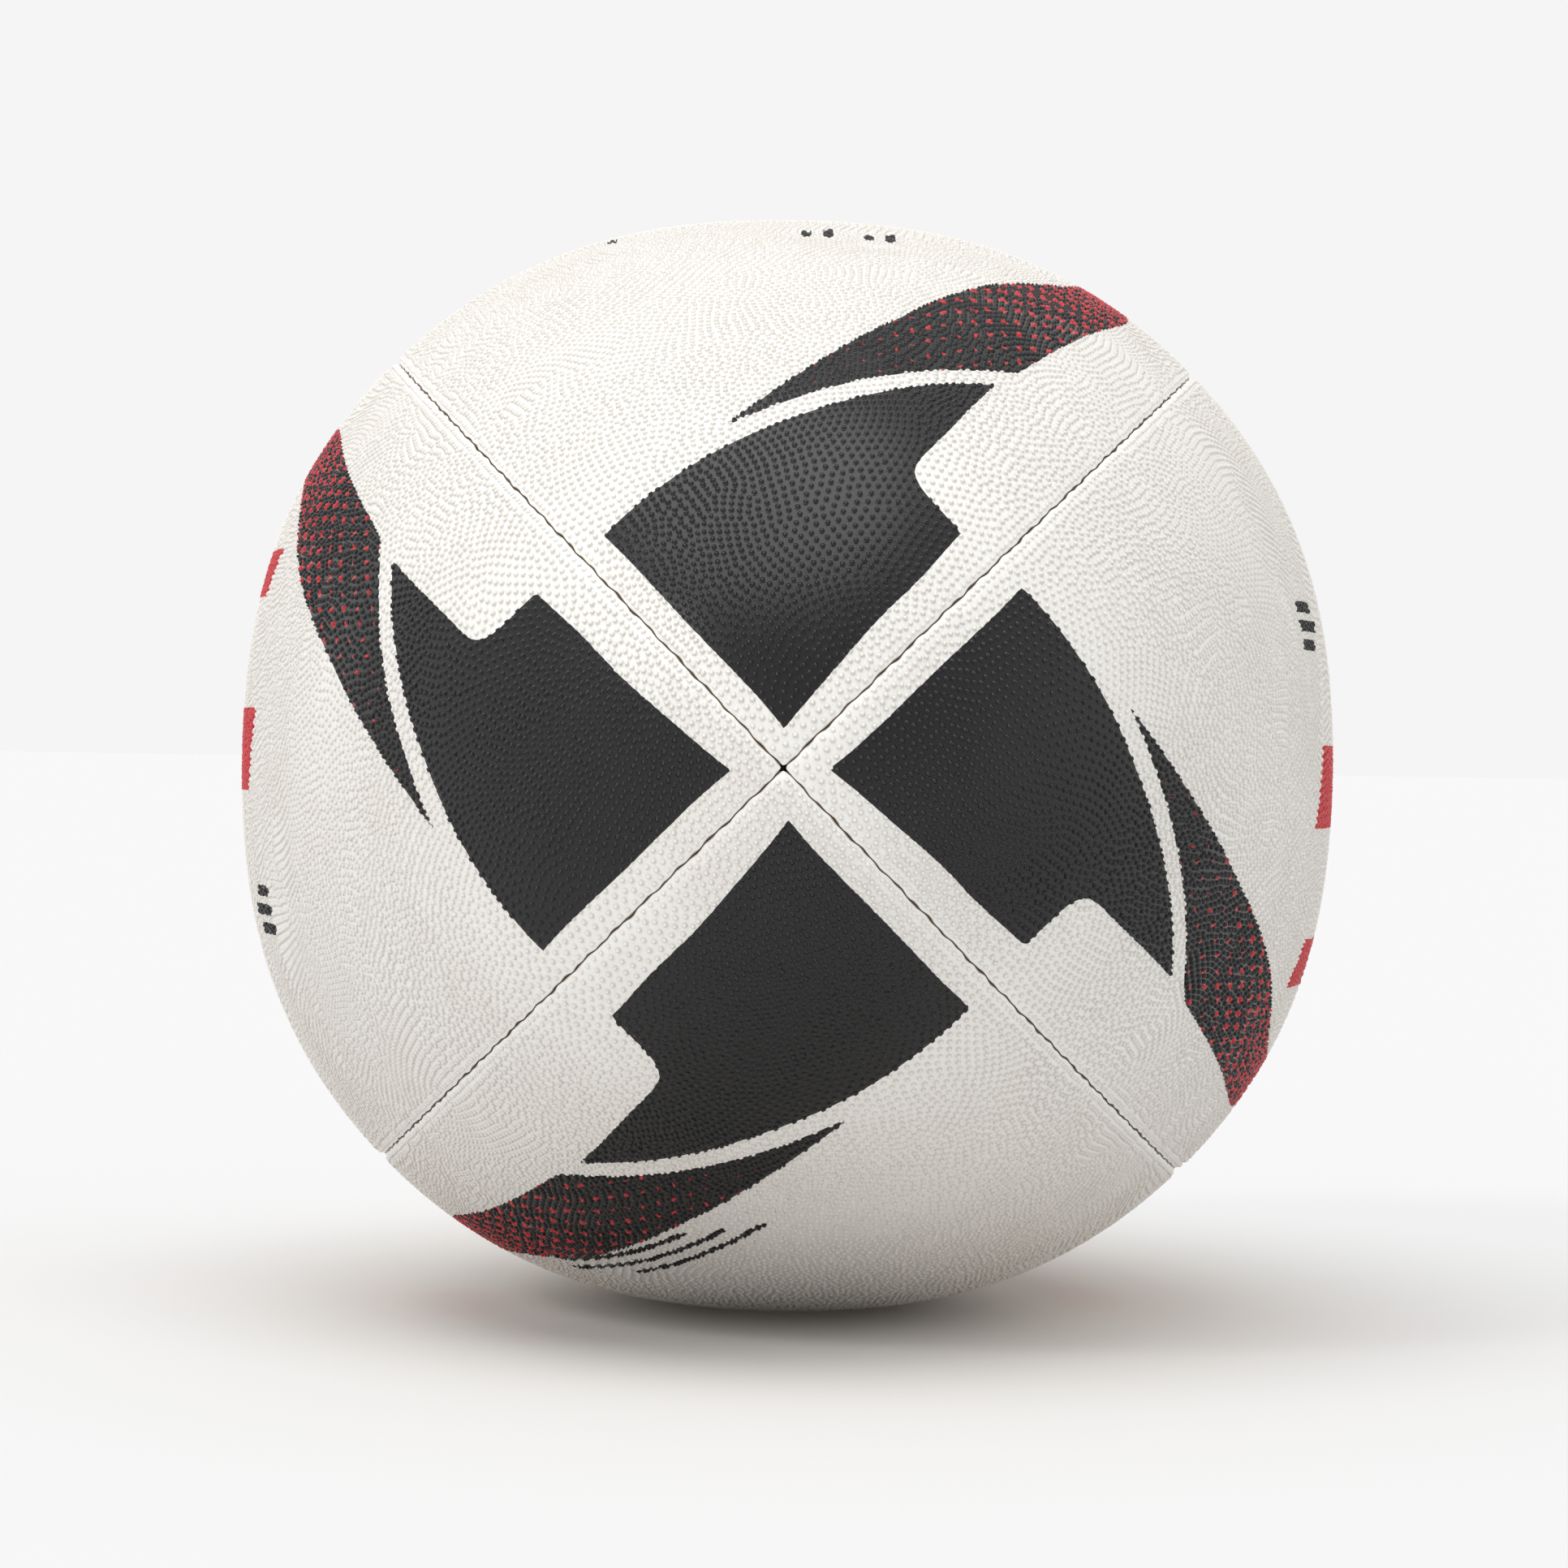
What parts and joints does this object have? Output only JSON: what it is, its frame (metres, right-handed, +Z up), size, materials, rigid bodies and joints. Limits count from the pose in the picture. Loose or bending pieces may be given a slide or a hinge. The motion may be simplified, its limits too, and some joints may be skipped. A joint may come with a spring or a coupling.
{
  "type": "rugby ball",
  "caption": "Prolate four-panel ball with pimpled rubber skins stitched edge to edge over a bladder with a moulded valve.",
  "frame": {"origin": "centre of the ball, which is the centre of its bounding box", "axes": "+Y along the ball's long axis, +Z up through the middle of the top panel, +X to the right when looking along +Y"},
  "size_m": [0.1848, 0.29, 0.1848],
  "materials": {
    "skin_rubber": "matt, pimpled, printed in black and red",
    "ply_cloth": "woven, latex coated",
    "lining_cloth": "woven",
    "patch_rubber": "matt",
    "seam_thread": "waxed thread",
    "bladder_rubber": "smooth",
    "valve_rubber": "smooth"
  },
  "bodies": {
    "root": {"skin_top": "skin_rubber", "ply_top": "ply_cloth", "lining_top": "lining_cloth", "skin_left": "skin_rubber", "ply_left": "ply_cloth", "lining_left": "lining_cloth", "skin_bottom": "skin_rubber", "ply_bottom": "ply_cloth", "lining_bottom": "lining_cloth", "skin_right": "skin_rubber", "ply_right": "ply_cloth", "lining_right": "lining_cloth", "valve_patch": "patch_rubber", "balance_patch": "patch_rubber", "thread_top_right": "seam_thread", "thread_top_left": "seam_thread", "thread_bottom_left": "seam_thread", "thread_bottom_right": "seam_thread", "bladder": "bladder_rubber", "valve_flange": "valve_rubber", "valve_housing": "valve_rubber", "valve_core": "valve_rubber"}
  },
  "joints": []
}
